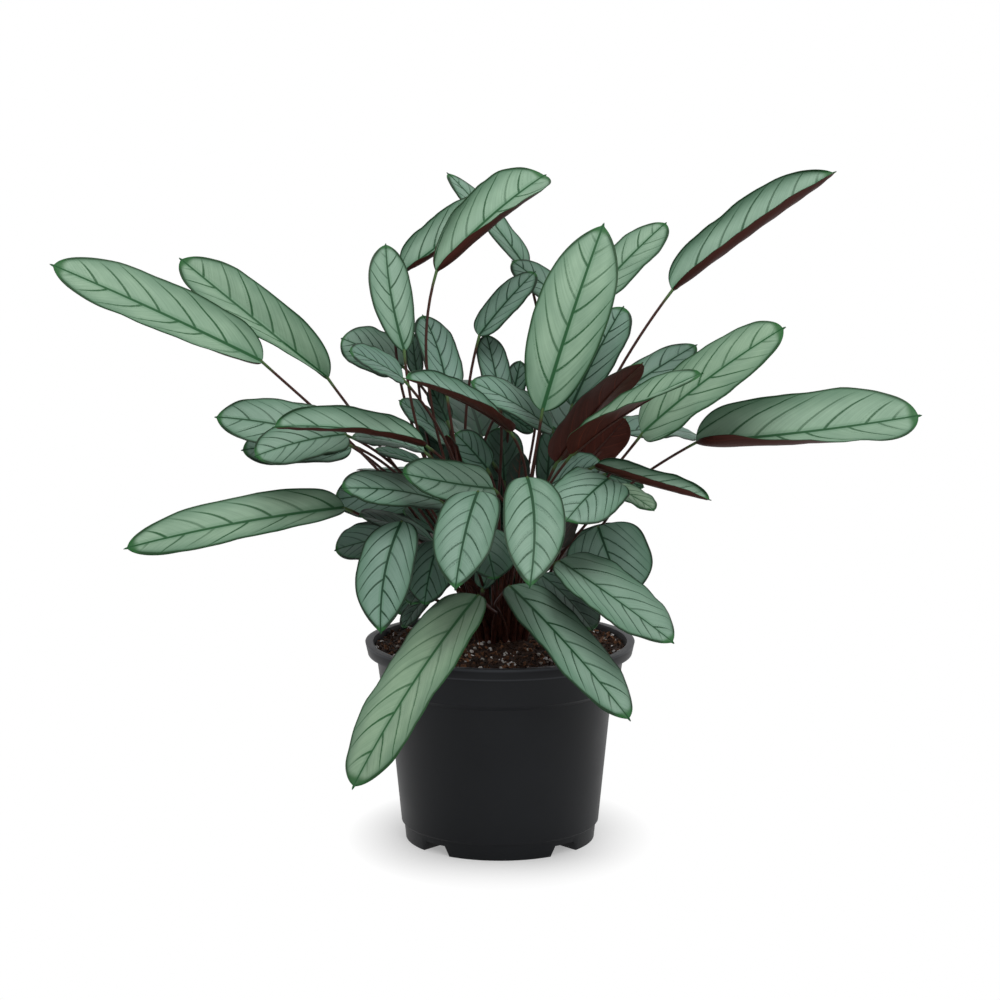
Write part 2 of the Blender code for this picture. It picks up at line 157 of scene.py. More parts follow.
# base, tip: ends of the blade in mm. width: mm. roll: degrees that the upper face turns about the
# blade's line from facing up, to the right as seen from the base. fold: degrees that each half
# rises at the base. arch, bend: bow of the midrib up and to the right, in percent of its length.
# twist: further roll from base to tip, in degrees. relax: share of the fold that is gone at the tip.
# cup: 0 for halves that meet in a crease and are flat, 1 for one even curve from edge to edge.
# narrow: 0 for a square base, 1 for one that narrows to the stalk.
# point: 0 for a round end, 1 for one that narrows to the tip.
# fresh: 0 for a bluish leaf, 1 for a green one. Between these it is partly the leaf's own tint and
# partly painted light: some leaves were made lighter in place of the light that falls on them.
# Below 0 it paints the leaf darker, down to -1. That is no colour of its own: it stands in for the
# shade that a leaf has among the others.
LEAVES = (
    Leaf((-182, -10, 376), (-336, -50, 454), 58, -42, 38, 3,
         bend=-2, relax=0.9, cup=1, narrow=0.4, fresh=0.7),
    Leaf((-134, 30, 358), (-255, 90, 447), 52, -34, 58, 1,
         bend=-1, relax=0.8, narrow=0.5, point=0.3, fresh=0.7),
    Leaf((-48, -19, 446), (36, 50, 515), 58, 24, 68, 6,
         bend=1, relax=0.65, cup=1, narrow=0.6, point=0, fresh=0.6),
    Leaf((20, 92, 439), (-43, 135, 512), 30, -5, 12, 3, fresh=0.2),
    Leaf((-73, 20, 443), (-4, 60, 497), 46, 20, 50, 2, bend=5, relax=0.5, cup=1, fresh=0.4),
    Leaf((132, 0, 430), (260, 40, 518), 57, 18, 52, 2,
         twist=5, relax=0.1, cup=1, narrow=0.4, point=0.4, fresh=0.4),
    Leaf((69, 78, 411), (134, 120, 473), 37, 25, 12, 3, fresh=0.6),
    Leaf((-73, -16, 385), (-88, 20, 464), 34, bend=-5, narrow=1.2, point=0.3, fresh=0.4),
    Leaf((-56, -74, 321), (-166, -120, 341), 41, -24, 46, 5,
         twist=-4, relax=0.2, cup=1, narrow=0, point=0, fresh=0.4),
    Leaf((7, -75, 332), (-69, -150, 381), 43, -24, 34, 5, bend=-7, twist=-4, relax=0, cup=1, narrow=1),
    Leaf((32, -45, 343), (79, -10, 482), 58, 40, narrow=1.1, point=0.7, fresh=0.7),
    Leaf((-72, -77, 371), (-111, -95, 394), 36, -30, fresh=-0.3),
    Leaf((-76, 48, 365), (-125, 52, 387), 42, -45, 12, 3, fresh=0.2),
    Leaf((-41, -8, 352), (-60, 20, 409), 34, 0, 12, 3, bend=4, fresh=0.0),
    Leaf((-16, 25, 392), (28, 48, 440), 29, 25, 12, 3, narrow=0.5),
    Leaf((0, 23, 341), (-11, 48, 391), 26, 0, 12, 3, fresh=0.0),
    Leaf((57, 53, 408), (9, 75, 446), 30, -30, 12, 3),
    Leaf((56, 15, 339), (97, 48, 413), 40, 20, 12, 3, narrow=0.8, point=0),
    Leaf((43, -53, 305), (106, -80, 384), 44, -20, 15),
    Leaf((53, -83, 315), (147, -130, 382), 38, 8, 60, twist=25, fresh=0.7),
    Leaf((74, 40, 330), (157, 80, 379), 34, 28, 12, 2, narrow=1),
    Leaf((108, -30, 323), (213, -60, 408), 60, 40, bend=1, narrow=0, point=0, fresh=0.8),
    Leaf((95, 16, 317), (156, 50, 310), 46, 15, 12, 6, fresh=0.0),
    Leaf((150, -20, 315), (322, -20, 336), 73, 34, 62, 1,
         bend=3, relax=0.88, cup=1, narrow=0, point=0, fresh=0.6),
    Leaf((71, -74, 305), (155, -114, 286), 31, 10, 50, 0, bend=3, relax=0.1, cup=1, fresh=0.4),
    Leaf((85, -42, 284), (116, -67, 270), 27, 5, fresh=1),
    Leaf((81, -83, 297), (48, -125, 272), 52, -22, 10, 6, narrow=0.3, fresh=0.2),
    Leaf((38, -24, 282), (78, -28, 300), 44, 25, 10, 5, fresh=-0.3),
    Leaf((20, -115, 303), (21, -195, 236), 45, 0, 10, 8, bend=-4, narrow=0.9, point=1, fresh=0.3),
    Leaf((-16, -118, 293), (-32, -187, 233), 46, 0, 10, 8, narrow=0.6, point=1, fresh=0.2),
    Leaf((-5, -62, 286), (-72, -120, 307), 40, -48, 12, 5, bend=-6, fresh=0.3),
    Leaf((-45, -60, 276), (-117, -110, 294), 42, -32, 12, 5, fresh=0.2),
    Leaf((-57, 45, 263), (-131, 35, 261), 48, -40, 12, 5, fresh=-0.5),
    Leaf((-117, -60, 271), (-279, -100, 247), 44, -36, 30, 5, bend=-2, narrow=0, fresh=0.7),
    Leaf((-70, 15, 236), (-129, 6, 226), 42, -30, 12, 5, fresh=-0.5),
    Leaf((-73, -90, 266), (-87, -140, 191), 44, 0, 10, 6, bend=4, narrow=0.7, point=1),
    Leaf((-45, -85, 251), (-56, -105, 205), 40, 0, 10, 6, narrow=0.8, point=0.8, fresh=-0.7),
    Leaf((-16, -110, 214), (-107, -180, 85), 70, 0, 12, 7, bend=-5, narrow=0.1, point=0.1, fresh=1.0),
    Leaf((7, -100, 219), (95, -160, 131), 59, 4, 12, 5, bend=4, narrow=0.3, point=0.3, fresh=0.3),
    Leaf((44, -90, 236), (128, -130, 182), 68, 10, 12, 5, bend=6, narrow=0.5, point=0.5, fresh=0.3),
    Leaf((74, -60, 257), (94, -77, 203), 63, 55, 12, 6, narrow=0.6, point=0.6),
    Leaf((30, -37, 216), (70, -77, 180), 42, 0, 10, 5, fresh=-0.6),
    Leaf((-15, -84, 259), (-4, -108, 225), 44, 0, 10, 5, narrow=0.8, point=0.8, fresh=-0.9),
    Leaf((-41, 6, 311), (-78, 0, 345), 32, -30, fresh=-0.5),
    Leaf((-10, 10, 290), (-35, 4, 319), 27, -70, fresh=-0.6),
    Leaf((40, -6, 323), (-23, -20, 362), 42, -30),
    Leaf((-118, -20, 315), (-217, -30, 336), 48, -42, 12, 5, narrow=0.4, point=0.4, fresh=0.3),
    Leaf((-117, -41, 324), (-183, -80, 313), 42, -35, 12, 5, fresh=0.3),
    Leaf((-116, 26, 306), (-201, 12, 304), 40, -45, 12, 5),
    Leaf((-57, -54, 313), (-112, -60, 325), 40, -10, 12, 5),
    Leaf((14, -12, 269), (16, -18, 309), 19, point=1, fresh=-0.9),
    Leaf((-60, 75, 255), (-112, 175, 262), 44, 0, 12, 8, fresh=-0.5),
    Leaf((-15, 80, 305), (-40, 200, 335), 46, 0, 12, 8, fresh=-0.8),
    Leaf((48, 76, 300), (78, 185, 335), 46, 0, 12, 6, fresh=-0.6),
    Leaf((50, 65, 260), (100, 170, 270), 44, 0, 12, 8, fresh=-0.6),
    Leaf((-35, 95, 225), (-60, 190, 190), 44, 0, 12, 8, fresh=-0.7),
    Leaf((30, 95, 220), (55, 195, 180), 44, 0, 12, 8, fresh=-0.8),
    Leaf((0, 100, 265), (5, 215, 255), 46, 0, 12, 8, fresh=-0.6),
)
# Small leaves that fill the gaps between the stalks. They are made up, and the solids leave them out.
# Their fresh below 0 paints them dark, as painted shade among the stalks.
INNER_LEAVES = (
    Leaf((-6, 30, 292), (-51, 40, 329), 38, fresh=-0.8),
    Leaf((3, 36, 276), (0, 46, 318), 34, fresh=-1),
    Leaf((-33, -6, 291), (-41, -12, 320), 16, fresh=-0.4),
    Leaf((37, 22, 274), (41, 34, 321), 20, fresh=-0.8),
    Leaf((65, 8, 293), (97, 0, 331), 30, -80, fresh=-0.5),
    Leaf((-59, -14, 297), (-96, -26, 310), 20, -20, fresh=-0.8),
    Leaf((-46, 20, 235), (-76, 10, 257), 34, -20, fresh=-1),
    Leaf((-51, -38, 241), (-106, -70, 267), 36, -20, fresh=-0.5),
    Leaf((-39, -62, 231), (-67, -92, 203), 36, 0, 12, 6, fresh=-0.7),
    Leaf((-54, -48, 201), (-73, -72, 181), 18, 0, 12, 6, fresh=-0.6),
    Leaf((45, -40, 236), (53, -52, 268), 28, fresh=-0.8),
    Leaf((-13, -30, 203), (5, -20, 234), 34, fresh=-1),
    Leaf((2, 56, 288), (0, 42, 185), 44, fresh=-1),
    Leaf((16, 58, 226), (12, 46, 176), 28, fresh=-1),
    Leaf((-30, 12, 218), (-82, 2, 177), 32, -40, fresh=-0.9),
    Leaf((-8, 62, 218), (-10, 48, 164), 22, fresh=-1),
    Leaf((-34, 35, 256), (-84, 25, 241), 30, -60, fresh=-1),
    Leaf((-64, 25, 362), (-68, 30, 394), 14, -60, fresh=-0.6),
    Leaf((-41, 20, 326), (-54, 24, 352), 15, -60, fresh=-0.9),
    Leaf((-42, 35, 288), (-60, 40, 332), 24, -60, fresh=-0.9),
    Leaf((9, 45, 338), (16, 50, 370), 17, 60, fresh=-0.3),
    Leaf((0, 25, 334), (26, 25, 316), 14, 60, fresh=-1),
    Leaf((57, 10, 232), (94, 0, 246), 14, 60, fresh=-0.6),
    Leaf((82, 15, 285), (112, 5, 276), 10, 60, fresh=-0.9),
)


def linear(hex_colour):
    """Linear RGBA of an sRGB hex colour."""
    shares = [int(hex_colour[i : i + 2], 16) / 255 for i in (1, 3, 5)]
    return (*[c / 12.92 if c <= 0.04045 else ((c + 0.055) / 1.055) ** 2.4 for c in shares], 1)


def add(tree, kind, *inputs, **settings):
    """Adds a node, sets or links its inputs in their order, leaves those given as None, and returns it."""
    kind, _, operation = kind.partition(":")
    if operation:
        settings["operation"] = operation
    node = tree.nodes.new(kind)
    for name, value in settings.items():
        setattr(node, name, value)
    for socket, value in zip(node.inputs, inputs):
        if isinstance(value, bpy.types.Node):
            value = value.outputs[0]
        if isinstance(value, bpy.types.NodeSocket):
            tree.links.new(value, socket)
        elif value is not None:
            socket.default_value = value
    return node


def new_material(name, **settings):
    """A material with its shader's own sockets set, and the node tree and shader to link patterns to."""
    material = bpy.data.materials.new(name)
    material.use_nodes = True
    tree = material.node_tree
    shader = tree.nodes["Principled BSDF"]
    for socket, value in settings.items():
        shader.inputs[socket.replace("_", " ").title().replace("Ior", "IOR")].default_value = value
    return material, tree, shader


def join_to(tree, shader, sources):
    """Links nodes to the shader's sockets, given by the sockets' names."""
    for socket, node in sources.items():
        tree.links.new(node.outputs[0], shader.inputs[socket])


def shape_tree(name, inputs):
    """A tree of geometry nodes with named inputs of each kind, and what its input node gives out."""
    tree = bpy.data.node_groups.new(name, "GeometryNodeTree")
    tree.interface.new_socket("Geometry", in_out="INPUT", socket_type="NodeSocketGeometry")
    for kind, keys in inputs.items():
        for key in keys:
            tree.interface.new_socket(key, in_out="INPUT", socket_type=f"NodeSocket{kind}")
    tree.interface.new_socket("Geometry", in_out="OUTPUT", socket_type="NodeSocketGeometry")
    return tree, add(tree, "NodeGroupInput").outputs


def new_object(name, data):
    obj = bpy.data.objects.new(name, data)
    bpy.context.scene.collection.objects.link(obj)
    return obj


def built(name, shape):
    """The object of a shape that was made in bmesh."""
    mesh = bpy.data.meshes.new(name)
    shape.to_mesh(mesh)
    shape.free()
    return new_object(name, mesh)


def plain_mesh(obj):
    """The object's shape as a mesh, with its modifiers carried out."""
    bpy.context.view_layer.update()
    graph = bpy.context.evaluated_depsgraph_get()
    return bpy.data.meshes.new_from_object(obj.evaluated_get(graph))


def made_plain(source, name):
    """Puts a plain mesh object in the place of its source."""
    mesh = plain_mesh(source)
    bpy.data.objects.remove(source)
    return new_object(name, mesh)


def new_curve(name):
    curve = bpy.data.curves.new(name, "CURVE")
    curve.dimensions = "3D"
    return curve


def add_path(curve, places, radii):
    """Adds a line through some places to a curve, with a radius at each."""
    spline = curve.splines.new("POLY")
    spline.points.add(len(places) - 1)
    for point, place, radius in zip(spline.points, places, radii):
        point.co = (*place, 1)
        point.radius = radius


# ---- leaf materials


def side_veins(tree, leaf, width, reach):
    """Mask of the side veins: each leaves the midrib, leans towards the tip and fades before the edge."""
    side = add(tree, SIGN, leaf["across"])
    row = add(tree, TIMES_PLUS, side, VEIN_STAGGER, leaf["vein_row"])
    number = add(tree, FLOOR, row)
    where = add(tree, COMBINE, number, side, leaf["leaf_seed"])
    chance = add(tree, "ShaderNodeTexWhiteNoise", where, noise_dimensions="3D").outputs["Color"]
    chance = add(tree, "ShaderNodeSeparateXYZ", chance).outputs
    shift = add(tree, RANGE, chance["X"], 0, 1, 0.36, 0.64)
    apart = add(tree, MINUS, add(tree, MINUS, row, number), shift)
    apart = add(tree, ABSOLUTE, apart)
    apart = add(tree, TIMES, apart, leaf["vein_gap_mm"])
    # Across its own line a leaning vein is nearer than along the blade.
    lean = add(tree, TIMES_PLUS, leaf["vein_out"], 2 * VEIN_LEAN[1], VEIN_LEAN[0])
    lean = add(tree, ROOT, add(tree, TIMES_PLUS, lean, lean, 1))
    apart = add(tree, OVER, apart, lean)
    edge = add(tree, ABSOLUTE, leaf["across"])
    # Veins are thinner on small leaves, where they stand closer.
    wide = [size * width for size in VEIN_SIZES]
    wide = add(tree, RANGE, leaf["vein_gap_mm"], *VEIN_GAPS_MM, *wide)
    wide = add(tree, TIMES, wide, add(tree, RANGE, edge, 0, 0.9, 1, 0.4))
    line = add(tree, OVER, apart, wide)
    line = add(tree, RANGE, line, 0.4, 1.3, 1, 0, **SMOOTH)
    far = add(tree, TIMES_PLUS, chance["Y"], 0.25, reach)
    near = add(tree, MINUS, far, 0.45)
    fade = add(tree, RANGE, edge, near, far, 1, 0, **SMOOTH)
    fade = add(tree, TIMES, fade, add(tree, RANGE, chance["Z"], 0.1, 0.6, 0.6, 1))
    fade = add(tree, TIMES, fade, add(tree, RANGE, leaf["along"], 0.85, 0.97, 1, 0))
    return add(tree, TIMES, line, fade)


def midrib(tree, leaf, at_base, at_tip):
    """Mask of the midrib, given its half width in mm at the base and at the tip."""
    out = add(tree, ABSOLUTE, leaf["across"])
    out = add(tree, TIMES, out, leaf["half_mm"])
    half = add(tree, RANGE, leaf["along"], 0, 1, at_base, at_tip)
    half = add(tree, TIMES, half, add(tree, RANGE, leaf["vein_gap_mm"], *VEIN_GAPS_MM, *VEIN_SIZES))
    line = add(tree, OVER, out, half)
    return add(tree, RANGE, line, 0.6, 1.2, 1, 0, **SMOOTH)


def streaks(tree, leaf):
    """Very fine veins that run beside the side veins, as a value from 0 to 1."""
    out = add(tree, ABSOLUTE, leaf["across"])
    run = add(tree, TIMES, leaf["vein_row"], 14)
    where = add(tree, COMBINE, run, add(tree, TIMES, out, 0.8), leaf["leaf_seed"])
    return add(tree, NOISE, where, None, 1.0, 3.0, 0.6)


def leaf_upper():
    """Leaf skin with a thin wax layer over silvery cells: satin, with dark green veins pressed into it."""
    material, tree, shader = new_material("waxy silver leaf skin", roughness=0.5, specular_ior_level=0.16)
    leaf = {name: add(tree, ATTRIBUTE, attribute_name=name).outputs["Fac"] for name in CARRIED}
    along, fresh = leaf["along"], leaf["fresh"]
    out = add(tree, ABSOLUTE, leaf["across"])
    # Below 0 the skin is painted darker, in place of shade.
    shaded = add(tree, RANGE, fresh, 0, -1, 0, 0.9)
    # Clouds of about 22 mm.
    cloud = add(tree, NOISE, add(tree, PLACE).outputs["Object"], None, 45.0, 2.0)
    cloud = add(tree, RANGE, cloud, 0.35, 0.65, 0, 0.2)
    fine = add(tree, RANGE, streaks(tree, leaf), 0.3, 0.7, 0, 1)
    # Greener towards the edges and the base.
    rim = add(tree, RANGE, out, 0.45, 1.0, 0, 0.55, **SMOOTH)
    foot = add(tree, RANGE, along, 0.0, 0.22, 0.4, 0)
    inside = add(tree, TIMES, add(tree, MINUS, 1, out), leaf["half_mm"])
    inside = add(tree, OVER, inside, add(tree, RANGE, along, 0.75, 1, 2.0, 5))
    dark = add(tree, LARGER, side_veins(tree, leaf, 1.15, 1.0), midrib(tree, leaf, 1.75, 0.75))
    coats = (
        (shaded, "#2c3e34"),
        (cloud, "#4b6c5c"),
        (add(tree, TIMES, fine, 0.26), "#335a44"),
        (add(tree, LARGER, rim, foot), "#3a6249"),
        (add(tree, RANGE, inside, 0.6, 1.5, 0.5, 0, **SMOOTH), "#284f33"),
        (add(tree, RANGE, inside, 0.5, 0.8, 0.95, 0, **SMOOTH), ("#142318", "#1e4221")),
        (add(tree, TIMES, midrib(tree, leaf, 4.5, 2.5), 0.3), "#3b6b4a"),
        (add(tree, RANGE, along, 0.925, 0.96, 0, 0.9, **SMOOTH), "#24562a"),
        (add(tree, TIMES, dark, 0.95), ("#0b2b19", "#1b5027")),
    )
    # The skin goes from bluish to green by fresh, which is partly the leaf's own tint and partly painted
    # light.
    skin = add(tree, MIX, fresh, linear("#738e82"), linear("#93ae91"))
    for share, colour in coats:
        # A coat of two colours goes from one to the other by the leaf's fresh value, which is partly painted
        # light and shade.
        coat = linear(colour) if isinstance(colour, str) else add(tree, MIX, fresh, *map(linear, colour))
        skin = add(tree, MIX, share, skin, coat)
    height = add(tree, TIMES_PLUS, dark, -1.0, add(tree, TIMES, fine, 0.12))
    bump = add(tree, BUMP, 0.35, 0.0003, None, height)
    join_to(tree, shader, {"Base Color": skin, "Normal": bump})
    return material


def leaf_under():
    """The underside's skin, stained maroon by its pigment: smooth and a little glossy, with raised veins."""
    material, tree, shader = new_material("maroon leaf underside", roughness=0.55, specular_ior_level=0.12)
    leaf = {name: add(tree, ATTRIBUTE, attribute_name=name).outputs["Fac"] for name in CARRIED}
    fine = add(tree, RANGE, streaks(tree, leaf), 0.3, 0.7, 0, 1)
    skin = add(tree, MIX, fine, linear("#431e17"), linear("#2f150f"))
    # On the darkest leaves this side is painted dark green-grey. That is no colour of its own: it stands in
    # for shade, and hides that leaf_51 turns its underside to the viewer.
    shaded = add(tree, RANGE, leaf["fresh"], -0.5, -0.9, 0, 1)
    skin = add(tree, MIX, shaded, skin, linear("#202c25"))
    veins = add(tree, LARGER, side_veins(tree, leaf, 0.7, 0.8), midrib(tree, leaf, 1.5, 0.6))
    skin = add(tree, MIX, add(tree, TIMES, veins, 0.5), skin, linear("#5a2a1d"))
    height = add(tree, TIMES_PLUS, veins, 1.0, add(tree, TIMES, fine, 0.15))
    bump = add(tree, BUMP, 0.4, 0.0003, None, height)
    join_to(tree, shader, {"Base Color": skin, "Normal": bump})
    return material


def stalk_skin():
    """Stalk skin: dull red-brown, papery at the sheath, with a fresh green joint under the blade."""
    material, tree, shader = new_material("red-brown stalk skin", roughness=0.55, specular_ior_level=0.2)
    reach = add(tree, ATTRIBUTE, attribute_name="stalk").outputs["Fac"]
    where = add(tree, PLACE).outputs["Object"]
    # Ribs about 1 mm wide and 17 mm long.
    long_way = add(tree, "ShaderNodeMapping", where, None, None, (900, 900, 60))
    grain = add(tree, NOISE, long_way, None, 1.0, 3.0, 0.6)
    skin = add(tree, MIX, add(tree, RANGE, grain, 0.3, 0.7, 0, 1), linear("#40221a"), linear("#26120d"))
    sheath = add(tree, RANGE, reach, 0.12, 0.42, 0.75, 0)
    dry = add(tree, MIX, add(tree, RANGE, grain, 0.35, 0.65, 0, 1), linear("#5f3628"), linear("#341a13"))
    skin = add(tree, MIX, sheath, skin, dry)
    green = add(tree, RANGE, reach, 0.95, 0.985, 0, 0.7, **SMOOTH)
    past = add(tree, RANGE, reach, 1.0, 1.04, 1, 0.0)
    green = add(tree, TIMES, green, past)
    skin = add(tree, MIX, green, skin, linear("#3f6233"))
    bump = add(tree, BUMP, 0.5, 0.0004, None, grain)
    join_to(tree, shader, {"Base Color": skin, "Normal": bump})
    return material


# ---- leaf shapes


def unit(vector):
    return vector / np.linalg.norm(vector)


def leaf_frame(leaf):
    """The blade's base, its line from base to tip, its side and the direction that its upper face has."""
    base = np.array(leaf.base) * MM
    chord = np.array(leaf.tip) * MM - base
    along = unit(chord)
    side = unit(np.cross(along, UP))
    face = np.cross(side, along)
    roll = radians(leaf.roll)
    face = face * cos(roll) + side * sin(roll)
    return base, chord, np.cross(along, face), face


def midline(leaf, lines, u):
    """Point of the blade's midrib at u, from 0 at the base to 1 at the tip."""
    base, chord, side, face = lines
    bow = (face * leaf.arch + side * leaf.bend) / 100 * np.linalg.norm(chord) * 4 * u * (1 - u)
    return base + chord * u + bow


def petiole_feet():
    """Where the stalks leave the soil: steep leaves in the middle, low ones outside, kept apart."""
    bases = np.array([leaf.base for leaf in LEAVES]) * MM
    reach = np.linalg.norm(bases[:, :2], axis=1)
    steep = np.arctan2(bases[:, 2] - SOIL_TOP, reach) / (tau / 4)
    feet = bases[:, :2] / reach[:, None] * (CLUMP_RADIUS * (1 - 0.85 * steep))[:, None]
    for _ in range(FEET_ROUNDS):
        apart = feet[:, None] - feet[None]
        distance = np.linalg.norm(apart, axis=2) + np.eye(len(feet))
        push = np.clip(FOOT_SPACING - distance, 0, None) * FEET_PUSH / distance
        feet = feet + (apart * push[..., None]).sum(axis=1)
        radius = np.linalg.norm(feet, axis=1)
        feet = feet * np.minimum(1, (CLUMP_RADIUS + 0.002) / radius)[:, None]
    return feet + CLUMP_CENTRE


def stalk_path(leaf, lines, foot):
    """The stalk's points and radii, from in the soil to the tip, and its length up to the blade."""
    base, chord, _, face = lines
    along = unit(chord)
    start = np.array((foot[0], foot[1], SOIL_TOP + GAP))
    rise = start + UP * STRAIGHT_FOOT
    out = unit((base - start) * (1, 1, 0) + SMALL)
    inward = 1 - float(unit(along * (1, 1, 0) + SMALL) @ out)
    arrive = unit(along + UP * (0.4 + 0.6 * inward + 1.2 * max(0.0, -along[2])))
    # One curve: upright out of the soil, then leaning out, and in line with the blade where it ends.
    span = np.linalg.norm(base - rise)
    second = rise + unit(UP + 0.25 * out) * span * 0.38
    third = base - arrive * span * 0.33
    points = [start - UP * STALK_DEPTH]
    for t in np.linspace(0, 1, STALK_POINTS):
        ends = rise * (1 - t) ** 3 + base * t**3
        points.append(ends + 3 * t * (1 - t) * (second * (1 - t) + third * t))
    steps = np.linalg.norm(np.diff(np.array(points), axis=0), axis=1)
    reach = np.concatenate(([0], np.cumsum(steps)))
    length = reach[-1]
    radii = []
    for far in reach:
        sheath = max(0.0, 1 - far / length / SHEATH_END)
        joint = max(0.0, 1 - abs(length - PULVINUS_LENGTH / 2 - far) / (PULVINUS_LENGTH * 0.6))
        radii.append(PETIOLE_RADIUS + (SHEATH_RADIUS - PETIOLE_RADIUS) * sheath**0.7
                     + (PULVINUS_RADIUS - PETIOLE_RADIUS) * min(1, 1.6 * joint))
    for u in np.linspace(0.02, 0.97, RIB_POINTS):
        radius = RIB_RADIUS * (1 - 0.8 * u)
        points.append(midline(leaf, lines, u) - face * (BLADE_THICKNESS / 2 + radius * 0.7))
        radii.append(radius)
    return points, radii, length


def leaf_tree(upper, under, stalk):
    """Geometry nodes of one leaf: the blade, bent from a thin box, and the stalk along a given curve."""
    tree, given = shape_tree("leaf", {
        "Vector": ("Base", "Chord", "Side", "Face"),
        "Float": ("Length", "Width", "Narrow", "Point", "Thickness", "Fold", "Relax", "Cup", "Arch", "Bend",
                  "Twist", "Crease", "Vein Gap", "Stalk Length", "Swell", "Ripple", "Quilt", "Fresh"),
        "Int": ("Rows", "Columns", "Stalk Sides", "Seed"),
    })

    # The box's own X runs along the blade, Y across it and Z through it; rows lie closer near the ends.
    box = add(tree, "GeometryNodeMeshCube", (1, 1, 1), given["Rows"], given["Columns"], 2)
    place = add(tree, "ShaderNodeSeparateXYZ", add(tree, "GeometryNodeInputPosition")).outputs
    even = add(tree, PLUS, place["X"], 0.5)
    wave = add(tree, SINE, add(tree, TIMES, even, tau))
    u = add(tree, TIMES_PLUS, wave, -ROW_SHIFT, even)
    v = add(tree, TIMES, place["Y"], 2)
    layer = add(tree, TIMES, place["Z"], 2)
    out = add(tree, ABSOLUTE, v)

    # Outline: rounded towards base and tip, with a blunt base and a small pointed tip.
    to_base = add(tree, TIMES_PLUS, u, -1 / WIDEST, 1, use_clamp=True)
    to_tip = add(tree, OVER, add(tree, MINUS, u, WIDEST), ROUND_END - WIDEST, use_clamp=True)
    square = add(tree, TIMES_PLUS, given["Narrow"], BASE_POWER[1], BASE_POWER[0])
    base_end = add(tree, MINUS, 1, add(tree, POWER, to_base, square))
    blunt = add(tree, TIMES_PLUS, given["Point"], TIP_POWER[1], TIP_POWER[0])
    narrow = add(tree, TIMES_PLUS, given["Point"], TIP_TAPER[1], TIP_TAPER[0])
    tip_end = add(tree, MINUS, 1, add(tree, POWER, to_tip, blunt))
    half = add(tree, TIMES, add(tree, POWER, base_end, 0.5), add(tree, POWER, tip_end, narrow))
    point = add(tree, RANGE, u, 1 - 2 * (1 - ROUND_END), 1, TIP_WIDTH, 0)
    stub = add(tree, RANGE, u, WIDEST, 1, BLADE_STUB, TIP_STUB)
    half = add(tree, LARGER, half, add(tree, SMALLER, point, stub))
    widest = add(tree, TIMES, given["Width"], 0.5)
    half = add(tree, TIMES, half, widest)

    # Side veins: rows counted along the midrib, leaning towards the tip.
    reach = add(tree, OVER, add(tree, TIMES, out, half), widest)
    lean = add(tree, TIMES_PLUS, reach, VEIN_LEAN[1], VEIN_LEAN[0])
    lean = add(tree, TIMES, add(tree, TIMES, lean, reach), widest)
    run = add(tree, MINUS, add(tree, TIMES, u, given["Length"]), lean)
    row = add(tree, OVER, run, given["Vein Gap"])

    carried = {
        "along": u,
        "across": v,
        "half_mm": add(tree, TIMES, half, 1000),
        "vein_row": row,
        "vein_out": reach,
        "vein_gap_mm": add(tree, TIMES, given["Vein Gap"], 1000),
        "leaf_seed": given["Seed"],
        "fresh": given["Fresh"],
    }
    blade = box.outputs["Mesh"]
    for name, value in carried.items():
        blade = add(tree, STORE, blade, None, name, value).outputs[0]
    flat = add(tree, COMBINE, u, add(tree, TIMES_PLUS, v, 0.5, 0.5))
    blade = add(tree, STORE, blade, None, "UVMap", flat, data_type="FLOAT2", domain="CORNER").outputs[0]
    blade = add(tree, SET_MATERIAL, blade, None, under)
    top = add(tree, ABOVE, layer, -0.5)
    blade = add(tree, SET_MATERIAL, blade, top, upper)

    # The midrib's line, and the blade's directions at u.
    bulge = add(tree, TIMES, u, add(tree, MINUS, 1, u))
    bulge = add(tree, TIMES, add(tree, TIMES, bulge, 4), given["Length"])
    bow = add(tree, MOVED, add(tree, SCALED, given["Face"], None, None, given["Arch"]),
              add(tree, SCALED, given["Side"], None, None, given["Bend"]))
    bow = add(tree, SCALED, bow, None, None, bulge)
    line = add(tree, SCALED, given["Chord"], None, None, u)
    line = add(tree, MOVED, add(tree, MOVED, given["Base"], line), bow)
    turn = add(tree, TIMES, u, given["Twist"])
    level, raised = (
        add(tree, "ShaderNodeVectorRotate", given[key], (0, 0, 0), given["Chord"], turn,
            rotation_type="AXIS_ANGLE")
        for key in ("Side", "Face")
    )

    # The two halves rise from the midrib by the fold, which opens towards the tip.
    fold = add(tree, MINUS, 1, add(tree, TIMES, u, given["Relax"]))
    fold = add(tree, TIMES, given["Fold"], fold)
    soft = add(tree, TIMES_PLUS, v, v, add(tree, POWER, given["Crease"], 2))
    soft = add(tree, ROOT, soft)
    from_rib = add(tree, MINUS, soft, given["Crease"])
    start = add(tree, TIMES, fold, add(tree, MINUS, 1, given["Cup"]))
    curve = add(tree, TIMES, add(tree, TIMES, fold, 2), given["Cup"])
    curve = add(tree, LARGER, curve, LEAST_CURVE)
    slope = add(tree, TIMES_PLUS, from_rib, curve, start)
    far = add(tree, TIMES_PLUS, out, curve, start)
    spread = add(tree, MINUS, add(tree, SINE, far), add(tree, SINE, start))
    spread = add(tree, TIMES, add(tree, OVER, spread, curve), add(tree, SIGN, v))
    spread = add(tree, TIMES, spread, half)
    rise = add(tree, MINUS, add(tree, COSINE, start), add(tree, COSINE, slope))
    rise = add(tree, OVER, rise, curve)
    swell = add(tree, SINE, add(tree, TIMES, out, tau / 2))
    rise = add(tree, TIMES_PLUS, swell, given["Swell"], rise)
    where = add(tree, COMBINE, add(tree, TIMES, u, 5), v, add(tree, TIMES, given["Seed"], 3.7))
    waves = add(tree, NOISE, where, None, 1.0, 1.0)
    waves = add(tree, RANGE, waves, 0.25, 0.75, -1, 1, clamp=False)
    waves = add(tree, TIMES, waves, add(tree, TIMES, v, v))
    rise = add(tree, TIMES_PLUS, waves, given["Ripple"], rise)
    rise = add(tree, TIMES, rise, half)

